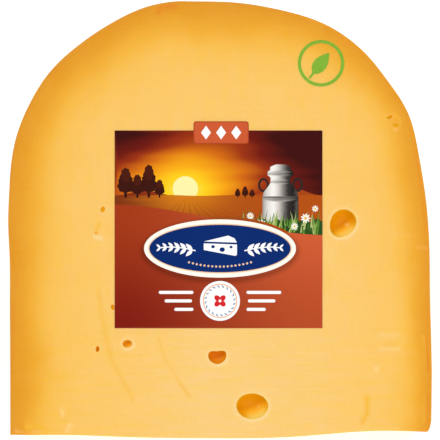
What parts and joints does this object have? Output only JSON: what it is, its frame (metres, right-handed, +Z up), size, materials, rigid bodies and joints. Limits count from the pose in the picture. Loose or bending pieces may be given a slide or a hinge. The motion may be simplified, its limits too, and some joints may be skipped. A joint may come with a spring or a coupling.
{
  "type": "cheese wedge",
  "caption": "Wedge of semi-hard cheese from a wheel, lying on one cut face, with round rind, trimmed tip, eyes, a square paper label and a small printed leaf mark.",
  "frame": {"origin": "bottom centre of the bounding box, on the surface that the wedge lies on", "axes": "+X along the wheel's axis, across the cheese; +Y from the trimmed tip to the rounded rind; +Z up, out of the lower cut face"},
  "size_m": [0.1146, 0.1221, 0.0616],
  "materials": {
    "cheese_paste": "satin, waxy paste with an amber rind",
    "label_paper": "coated paper, satin print",
    "mark_ink": "satin ink"
  },
  "bodies": {
    "root": {"cheese": "cheese_paste", "label": "label_paper", "mark_ring": "mark_ink", "mark_leaf": "mark_ink"}
  },
  "joints": []
}
